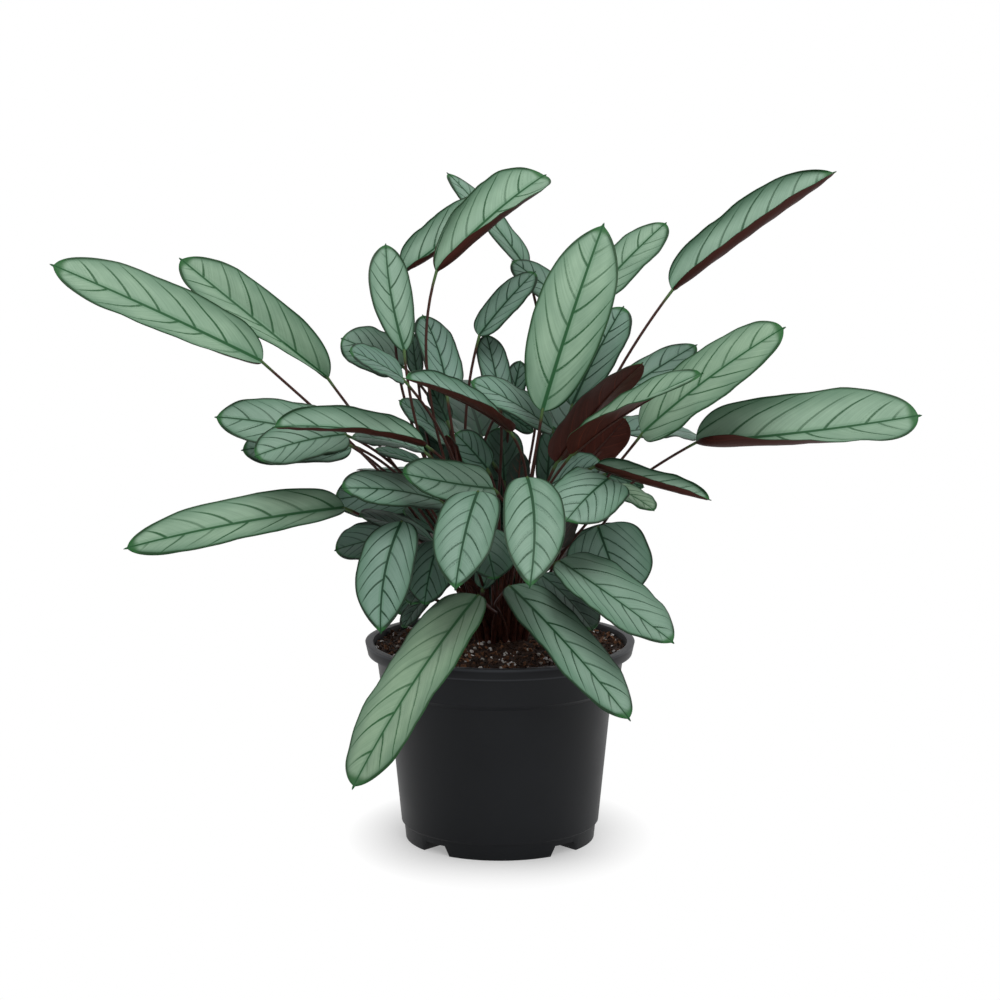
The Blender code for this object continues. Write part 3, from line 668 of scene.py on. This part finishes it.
    # Thickness, and the soft quilting between the side veins.
    quilt = add(tree, TIMES_PLUS, add(tree, SIGN, v), VEIN_STAGGER, row)
    quilt = add(tree, COSINE, add(tree, TIMES, quilt, tau))
    quilt = add(tree, TIMES, add(tree, TIMES, quilt, swell), given["Quilt"])
    through = add(tree, TIMES_PLUS, layer, add(tree, TIMES, given["Thickness"], 0.5), quilt)
    tilt = add(tree, TIMES, add(tree, OVER, v, soft), add(tree, SINE, slope))
    through_up = add(tree, TIMES, through, add(tree, COSINE, slope))
    through_out = add(tree, TIMES, through, tilt)
    spread = add(tree, MINUS, spread, through_out)
    rise = add(tree, PLUS, rise, through_up)
    goal = add(tree, MOVED, line, add(tree, SCALED, level, None, None, spread))
    goal = add(tree, MOVED, goal, add(tree, SCALED, raised, None, None, rise))
    blade = add(tree, "GeometryNodeSetPosition", blade, None, goal)

    # The stalk: a round tube, which knows how far along it each point lies.
    far = add(tree, "GeometryNodeSplineParameter").outputs["Length"]
    far = add(tree, OVER, far, given["Stalk Length"])
    path = add(tree, STORE, given["Geometry"], None, "stalk", far)
    ring = add(tree, "GeometryNodeCurvePrimitiveCircle", given["Stalk Sides"])
    ring.inputs["Radius"].default_value = 1
    tube = add(tree, "GeometryNodeCurveToMesh", path, ring, add(tree, "GeometryNodeInputRadius"), True)
    tube = add(tree, SET_MATERIAL, tube, None, stalk)
    whole = add(tree, "GeometryNodeJoinGeometry", blade)
    tree.links.new(tube.outputs[0], whole.inputs[0])
    whole = add(tree, "GeometryNodeRealizeInstances", whole)
    add(tree, "NodeGroupOutput", whole)
    return tree


def grown(name, data, tree, values):
    """The plain mesh object that a node tree makes on some data, given the tree's named inputs."""
    source = new_object(f"{name}_source", data)
    modifier = source.modifiers.new("nodes", "NODES")
    modifier.node_group = tree
    sockets = {item.name: item.identifier for item in tree.interface.items_tree if item.in_out == "INPUT"}
    for key, value in values.items():
        modifier[sockets[key]] = value
    return made_plain(source, name)


def finish_piece(obj, node_names, sharp=70):
    """Smooth shading, and the piece's body and the solids that it stands for."""
    obj.data.shade_smooth()
    obj.data.set_sharp_from_angle(angle=radians(sharp))
    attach(obj, "root")
    if node_names:
        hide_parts(*node_names)


def grow_leaf(number, leaf, foot, tree, node_names):
    """One leaf on its stalk, from the place where that leaves the soil."""
    lines = leaf_frame(leaf)
    base, chord, side, face = lines
    points, radii, stalk_length = stalk_path(leaf, lines, foot)
    curve = new_curve(f"leaf_{number:02d}_stalk")
    add_path(curve, points, radii)
    length = float(np.linalg.norm(chord))
    values = {
        "Base": tuple(base), "Chord": tuple(chord), "Side": tuple(side), "Face": tuple(face),
        "Length": length, "Width": leaf.width * MM, "Thickness": BLADE_THICKNESS,
        "Narrow": float(leaf.narrow), "Point": float(leaf.point), "Fold": radians(leaf.fold),
        "Relax": float(leaf.relax), "Cup": float(leaf.cup), "Arch": leaf.arch / 100, "Bend": leaf.bend / 100,
        "Twist": radians(leaf.twist), "Crease": CREASE, "Vein Gap": VEIN_GAP[0] + VEIN_GAP[1] * length,
        "Stalk Length": stalk_length, "Swell": SWELL, "Ripple": RIPPLE, "Quilt": QUILT,
        "Fresh": float(leaf.fresh), "Rows": BLADE_ROWS, "Columns": BLADE_COLUMNS,
        "Stalk Sides": STALK_SIDES, "Seed": number,
    }
    finish_piece(grown(f"grown_leaf_{number:02d}", curve, tree, values), node_names)


def make_stubs(material):
    """Short tapered tubes like dry sheaths. They are made up, to close gaps between the stalks' feet."""
    chance = random.Random(11)
    curve = new_curve("dry_sheaths")
    curve.bevel_depth = 1
    curve.bevel_resolution = 2
    curve.use_fill_caps = True
    curve.materials.append(material)
    for _ in range(STUBS):
        bearing = chance.uniform(0, tau)
        out = np.array((cos(bearing), sin(bearing), 0))
        reach = CLUMP_RADIUS * 0.85 * sqrt(chance.random())
        foot = out * reach + (*CLUMP_CENTRE, SOIL_TOP - STALK_DEPTH)
        height = chance.uniform(0.025, 0.085)
        lean = out * height * chance.uniform(0, 0.35)
        radius = chance.uniform(0.0013, 0.0022)
        shares = [step / STUB_STEPS for step in range(STUB_STEPS + 1)]
        add_path(curve, [foot + UP * height * u + lean * u * u for u in shares],
                 [radius * (1 - 0.75 * u**2) for u in shares])
    finish_piece(made_plain(new_object("dry_sheaths_source", curve), "dry_sheaths"), [])


# ---- pot


def pot_plastic():
    """Injection-moulded polypropylene, dyed charcoal: matte, with a fine moulded grain."""
    material, tree, shader = new_material("moulded charcoal polypropylene", roughness=0.5,
                                          specular_ior_level=0.15)
    where = add(tree, PLACE).outputs["Object"]
    # Faintly uneven over patches of about 70 mm.
    patch = add(tree, NOISE, where, None, 14.0, 3.0)
    skin = add(tree, RANGE, patch, 0.35, 0.65, 0, 1)
    skin = add(tree, MIX, skin, linear("#121417"), linear("#181a1d"))
    # The rim's edges are painted paler, in place of the soft light that they catch.
    high = add(tree, "ShaderNodeSeparateXYZ", where).outputs["Z"]
    top = add(tree, RANGE, high, POT_HEIGHT - 2.4 * MM, POT_HEIGHT - 1.2 * MM, 0, 0.8)
    lip = add(tree, ABSOLUTE, add(tree, MINUS, high, SKIRT_Z + 0.4 * MM))
    lip = add(tree, RANGE, lip, 0.5 * MM, 1.1 * MM, 0.5, 0)
    skin = add(tree, MIX, add(tree, LARGER, top, lip), skin, linear("#393c40"))
    rough = add(tree, RANGE, patch, 0.3, 0.7, 0.44, 0.54)
    # Moulded grain of about 0.7 mm.
    grain = add(tree, NOISE, where, None, 1400.0, 2.0)
    bump = add(tree, BUMP, 0.12, 0.0002, None, grain)
    join_to(tree, shader, {"Base Color": skin, "Roughness": rough, "Normal": bump})
    return material


def applied(obj):
    """Carries out the object's modifiers on its mesh."""
    mesh = plain_mesh(obj)
    obj.modifiers.clear()
    obj.data = mesh


def turned(name, profile, steps):
    """A closed solid turned about Z from (radius, z) points that start and end on the axis."""
    mesh = bpy.data.meshes.new(name)
    mesh.from_pydata([(r, 0, z) for r, z in profile], [(i, i + 1) for i in range(len(profile) - 1)], [])
    obj = new_object(name, mesh)
    screw = obj.modifiers.new("turn", "SCREW")
    screw.steps = screw.render_steps = steps
    screw.use_merge_vertices = True
    screw.merge_threshold = 0.00001
    applied(obj)
    shape = bmesh.new()
    shape.from_mesh(obj.data)
    bmesh.ops.recalc_face_normals(shape, faces=shape.faces)
    if shape.calc_volume(signed=True) < 0:
        bmesh.ops.reverse_faces(shape, faces=shape.faces)
    shape.to_mesh(obj.data)
    shape.free()
    return obj


def cut(obj, cutter):
    """Takes the cutter out of the object, and away."""
    boolean = obj.modifiers.new("cut", "BOOLEAN")
    boolean.operation = "DIFFERENCE"
    boolean.object = cutter
    applied(obj)
    bpy.data.objects.remove(cutter)


def foot_block(bearing, inner, width, height):
    """A block that reaches out through the foot at a bearing and is wider at the floor than on top."""
    shape = bmesh.new()
    bmesh.ops.create_cube(shape, size=1)
    length = 2 * FOOT_TOP_RADIUS - inner
    bmesh.ops.scale(shape, vec=(length, 1, 2 * height), verts=shape.verts)
    bmesh.ops.translate(shape, vec=(inner + length / 2, 0, 0), verts=shape.verts)
    for vertex in shape.verts:
        vertex.co.y *= width - NOTCH_FLARE * vertex.co.z
    obj = built("foot_block", shape)
    obj.rotation_euler.z = radians(bearing)
    return obj


def drain(bearing):
    """A rod through the roof of the notch at a bearing."""
    shape = bmesh.new()
    bmesh.ops.create_cone(
        shape, cap_ends=True, segments=24, radius1=DRAIN_RADIUS, radius2=DRAIN_RADIUS, depth=0.02
    )
    obj = built("drain", shape)
    angle = radians(bearing)
    obj.location = (DRAIN_PLACE * cos(angle), DRAIN_PLACE * sin(angle), NOTCH_HEIGHT)
    return obj


def cavity_profile(gap):
    """The inside of the pot, drawn in by gap, from the floor up to the rim."""
    inset = WALL + gap
    return [
        (0, WALL + gap),
        (FOOT_RADIUS - inset, WALL + gap),
        (WALL_BOTTOM_RADIUS - inset, WALL_BOTTOM_Z),
        (WALL_TOP_RADIUS - inset, WALL_TOP_Z),
        (BAND_BOTTOM_RADIUS - inset, BAND_BOTTOM_Z),
        (BAND_TOP_RADIUS - inset, SKIRT_Z),
    ]


def make_pot(material):
    """The pot: a tapered wall with a shoulder, a hanging rim with rounded lips, and a notched foot."""
    outside = [
        (0, 0), (FOOT_RADIUS, 0), (FOOT_TOP_RADIUS, FOOT_TOP_Z),
        (WALL_BOTTOM_RADIUS, WALL_BOTTOM_Z),
        (WALL_TOP_RADIUS, WALL_TOP_Z),
        (BAND_BOTTOM_RADIUS, BAND_BOTTOM_Z),
        (BAND_TOP_RADIUS, SKIRT_Z),
        (RIM_INNER_RADIUS + WALL, POT_HEIGHT - WALL),
        (RIM_RADIUS - WALL, POT_HEIGHT - WALL),
        (SKIRT_RADIUS - WALL, SKIRT_Z),
        (SKIRT_RADIUS, SKIRT_Z),
        (RIM_RADIUS, POT_HEIGHT),
        (0, POT_HEIGHT),
    ]
    pot = turned("nursery_pot", outside, POT_STEPS)
    inside = cavity_profile(0) + [
        (RIM_INNER_RADIUS, POT_HEIGHT - EDGE),
        (RIM_INNER_RADIUS, POT_HEIGHT + WALL),
        (0, POT_HEIGHT + WALL),
    ]
    cavity = turned("pot_cavity", inside, POT_STEPS)
    for bearing in NOTCH_BEARINGS:
        cut(cavity, foot_block(bearing, NOTCH_INNER_RADIUS - WALL, NOTCH_WIDTH + 2 * WALL,
                               NOTCH_HEIGHT + WALL))
    cut(pot, cavity)
    for bearing in NOTCH_BEARINGS:
        cut(pot, foot_block(bearing, NOTCH_INNER_RADIUS, NOTCH_WIDTH, NOTCH_HEIGHT))
        cut(pot, drain(bearing))
    bevel = pot.modifiers.new("rounded edges", "BEVEL")
    bevel.width = ROUNDING
    bevel.segments = 2
    bevel.limit_method = "ANGLE"
    bevel.angle_limit = radians(35)
    applied(pot)
    pot.data.materials.clear()
    pot.data.materials.append(material)
    finish_piece(pot, ["pot"], sharp=40)


# ---- soil


def soil_material():
    """Peat and bark potting mix: dark brown crumbs, damp, with no gloss."""
    material, tree, shader = new_material("damp peat potting mix", roughness=0.85, specular_ior_level=0.25)
    where = add(tree, PLACE).outputs["Object"]
    # Crumbs of about 2 mm.
    crumb = add(tree, "ShaderNodeTexVoronoi", where, None, 500.0)
    # Clods of about 6 mm.
    shade = add(tree, NOISE, where, None, 160.0, 4.0)
    skin = add(tree, RANGE, shade, 0.35, 0.65, 0, 1)
    skin = add(tree, MIX, skin, linear("#1d120c"), linear("#3a2619"))
    bump = add(tree, BUMP, 0.8, 0.001, None, crumb.outputs["Distance"])
    join_to(tree, shader, {"Base Color": skin, "Normal": bump})
    return material


def flake_material(name, dark, light, roughness):
    """Loose pieces in the mix, each with its own shade."""
    material, tree, shader = new_material(name, roughness=roughness, specular_ior_level=0.3)
    shade = add(tree, ATTRIBUTE, attribute_name="shade").outputs["Fac"]
    join_to(tree, shader, {"Base Color": add(tree, MIX, shade, linear(dark), linear(light))})
    return material


def scatter_tree(name, shape_kind, material):
    """Geometry nodes that lay small shapes on the soil's surface, turned and sized at random."""
    tree, given = shape_tree(name, {
        "Float": ("Density", "Smallest", "Largest"), "Vector": ("Proportions",), "Int": ("Seed",)
    })
    seed = given["Seed"]
    normal = add(tree, "ShaderNodeSeparateXYZ", add(tree, "GeometryNodeInputNormal"))
    top = add(tree, ABOVE, normal.outputs["Z"], 0.5)
    points = add(tree, "GeometryNodeDistributePointsOnFaces", given["Geometry"], top, None, None,
                 given["Density"], None, seed)
    if shape_kind == "grain":
        shape = add(tree, "GeometryNodeMeshIcoSphere", 0.5, 1)
    else:
        shape = add(tree, "GeometryNodeMeshCube", (1, 1, 1), 3, 2, 2)
    # Each corner of the shape is pushed a little, so that no two faces look turned or cut.
    uneven = add(tree, NOISE, add(tree, "GeometryNodeInputPosition"), None, 2.3, 1.0)
    uneven = add(tree, MOVED, uneven.outputs["Color"], (-0.5, -0.5, -0.5))
    uneven = add(tree, SCALED, uneven, None, None, 0.9)
    shape = add(tree, "GeometryNodeSetPosition", shape, None, None, uneven)
    # The random node has a socket of its own for each kind of number: 0 and 1 are vectors, 2 and 3 floats.
    size = add(tree, RANDOM, None, None, given["Smallest"], given["Largest"], None, None, None, None, seed,
               data_type="FLOAT").outputs[1]
    size = add(tree, SCALED, given["Proportions"], None, None, size)
    turn = add(tree, RANDOM, None, (tau, tau, tau), data_type="FLOAT_VECTOR").outputs[0]
    placed = add(tree, "GeometryNodeInstanceOnPoints", points, None, shape, None, None, turn, size)
    shade = add(tree, RANDOM, data_type="FLOAT").outputs[1]
    placed = add(tree, STORE, placed, None, "shade", shade, domain="INSTANCE")
    whole = add(tree, "GeometryNodeRealizeInstances", placed)
    add(tree, "NodeGroupOutput", add(tree, SET_MATERIAL, whole, None, material))
    return tree


def make_soil(material):
    """The soil: the pot's inside, filled, with an uneven top."""
    under_rim = BAND_TOP_RADIUS - WALL
    level = SOIL_TOP + SOIL_RISE
    up_the_rim = (level - SKIRT_Z) / (POT_HEIGHT - EDGE - SKIRT_Z)
    edge = under_rim + (RIM_INNER_RADIUS - under_rim) * up_the_rim - GAP
    top = [(edge * (1 - i / SOIL_RINGS), level) for i in range(SOIL_RINGS + 1)]
    soil = turned("potting_soil", cavity_profile(GAP) + top, SOIL_STEPS)
    for bearing in NOTCH_BEARINGS:
        cut(soil, foot_block(bearing, NOTCH_INNER_RADIUS - WALL - GAP, NOTCH_WIDTH + 2 * (WALL + GAP),
                             NOTCH_HEIGHT + WALL + GAP))
    tree, given = shape_tree("uneven soil", {"Float": ("Bumps", "Mound")})
    place = add(tree, "GeometryNodeInputPosition")
    height = add(tree, "ShaderNodeSeparateXYZ", place).outputs["Z"]
    at_top = add(tree, ABOVE, height, level - UNDER_TOP)
    from_stalks = add(tree, APART, place, (*CLUMP_CENTRE, level)).outputs["Value"]
    mound = add(tree, RANGE, from_stalks, 0.0, MOUND_RADIUS, given["Mound"], 0.0, **SMOOTH)
    # Bumps of about 9 mm.
    noise = add(tree, NOISE, place, None, 110.0, 4.0, 0.6)
    noise = add(tree, RANGE, noise, 0.3, 0.7, -0.5, 0.5, clamp=False)
    noise = add(tree, TIMES, noise, given["Bumps"])
    shift = add(tree, COMBINE, 0, 0, add(tree, PLUS, mound, noise))
    moved = add(tree, "GeometryNodeSetPosition", given["Geometry"], at_top, None, shift)
    moved = add(tree, SET_MATERIAL, moved, None, material)
    add(tree, "NodeGroupOutput", moved)
    mesh = soil.data
    bpy.data.objects.remove(soil)
    soil = grown("potting_soil", mesh, tree, {"Bumps": SOIL_BUMPS, "Mound": MOUND})
    finish_piece(soil, ["soil"], sharp=60)
    return soil


# ---- stage


def plainly_seen(tree):
    """1 for what the camera sees, also in gloss or through glass, and 0 for what lights the plant."""
    path = add(tree, "ShaderNodeLightPath").outputs
    seen = add(tree, LARGER, path["Is Camera Ray"], path["Is Glossy Ray"])
    return add(tree, LARGER, seen, path["Is Transmission Ray"])


def make_stage():
    """A white floor that turns plain white away from the pot, so that only the pot's soft shadow shows."""
    shape = bmesh.new()
    bmesh.ops.create_grid(shape, x_segments=1, y_segments=1, size=8)
    floor = built("floor", shape)
    material = bpy.data.materials.new("white studio floor")
    material.use_nodes = True
    tree = material.node_tree
    tree.nodes.clear()
    place = add(tree, PLACE).outputs["Object"]
    away = add(tree, LONG, add(tree, STRETCHED, place, SHADOW_STRETCH)).outputs["Value"]
    away = add(tree, RANGE, away, *SHADOW_FADE, WHITE_NEAR_POT, 1)
    fade = add(tree, TIMES, plainly_seen(tree), away)
    matte = add(tree, "ShaderNodeBsdfDiffuse", linear("#fbfbfb"))
    white = add(tree, "ShaderNodeEmission", (1, 1, 1, 1), 1.0)
    add(tree, "ShaderNodeOutputMaterial", add(tree, "ShaderNodeMixShader", fade, matte, white))
    floor.data.materials.append(material)

    world = bpy.data.worlds.new("studio")
    bpy.context.scene.world = world
    world.use_nodes = True
    tree = world.node_tree
    tree.nodes.clear()
    soft = add(tree, "ShaderNodeBackground", (1, 1, 1, 1), SOFT_LIGHT)
    white = add(tree, "ShaderNodeBackground", (1, 1, 1, 1), 1.0)
    add(tree, "ShaderNodeOutputWorld", add(tree, "ShaderNodeMixShader", plainly_seen(tree), soft, white))


def add_lamp(name, place, size, power):
    """A round softbox that points at the plant."""
    light = bpy.data.lights.new(name, "AREA")
    light.shape = "DISK"
    light.size = size
    light.energy = power
    lamp = new_object(name, light)
    lamp.location = place
    lamp.rotation_euler = (lamp.location - Vector(LAMP_AIM)).to_track_quat("Z", "Y").to_euler()


def make_camera():
    data = bpy.data.cameras.new("camera")
    data.lens = LENS
    data.sensor_width = SENSOR
    camera = new_object("camera", data)
    camera.location = CAMERA_PLACE
    camera.rotation_euler = (radians(90 - CAMERA_DIP), 0, 0)
    bpy.context.scene.camera = camera


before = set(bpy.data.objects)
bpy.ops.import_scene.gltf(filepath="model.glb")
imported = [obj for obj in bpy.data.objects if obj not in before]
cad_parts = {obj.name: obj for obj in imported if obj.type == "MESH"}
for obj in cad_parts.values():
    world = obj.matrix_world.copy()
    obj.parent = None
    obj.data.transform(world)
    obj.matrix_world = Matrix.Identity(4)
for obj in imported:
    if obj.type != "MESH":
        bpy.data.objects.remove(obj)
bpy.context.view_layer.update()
SOIL_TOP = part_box("soil")[1].z
POT_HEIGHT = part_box("pot")[1].z
RIM_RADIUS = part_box("pot")[1].x

bpy.context.scene.view_settings.view_transform = "Standard"
make_camera()
make_stage()
add_lamp("overhead softbox", (0.25, -0.8, 1.85), size=1.2, power=27)
add_lamp("front softbox", (0.6, -2.0, 1.1), size=0.9, power=8)

skin_of_stalks = stalk_skin()
blades = leaf_tree(leaf_upper(), leaf_under(), skin_of_stalks)
make_stubs(skin_of_stalks)
for number, (leaf, foot) in enumerate(zip(LEAVES, petiole_feet()), start=1):
    grow_leaf(number, leaf, foot, blades, [f"leaf_{number:02d}"])
for number, leaf in enumerate(INNER_LEAVES, start=len(LEAVES) + 1):
    outward = unit(np.array(leaf.base[:2])) * CLUMP_RADIUS * 0.6
    grow_leaf(number, leaf, outward + CLUMP_CENTRE, blades, [])
make_pot(pot_plastic())
soil = make_soil(soil_material())
loose = (
    ("bark_chips", "chip", flake_material("shredded bark", "#26170f", "#8a6246", 0.8),
     {"Density": 26000.0, "Smallest": 0.002, "Largest": 0.006, "Proportions": (1.0, 0.45, 0.3), "Seed": 3}),
    ("peat_crumbs", "grain", flake_material("peat crumbs", "#170e09", "#3c271b", 0.9),
     {"Density": 50000.0, "Smallest": 0.0012, "Largest": 0.0032, "Proportions": (1.0, 0.9, 0.8), "Seed": 5}),
    ("perlite", "grain", flake_material("perlite", "#b9b4aa", "#ffffff", 0.8),
     {"Density": 7500.0, "Smallest": 0.0018, "Largest": 0.005, "Proportions": (1.0, 0.9, 0.75), "Seed": 8}),
)
for name, kind, material, values in loose:
    piece = grown(name, soil.data, scatter_tree(name, kind, material), values)
    finish_piece(piece, [], sharp=30)
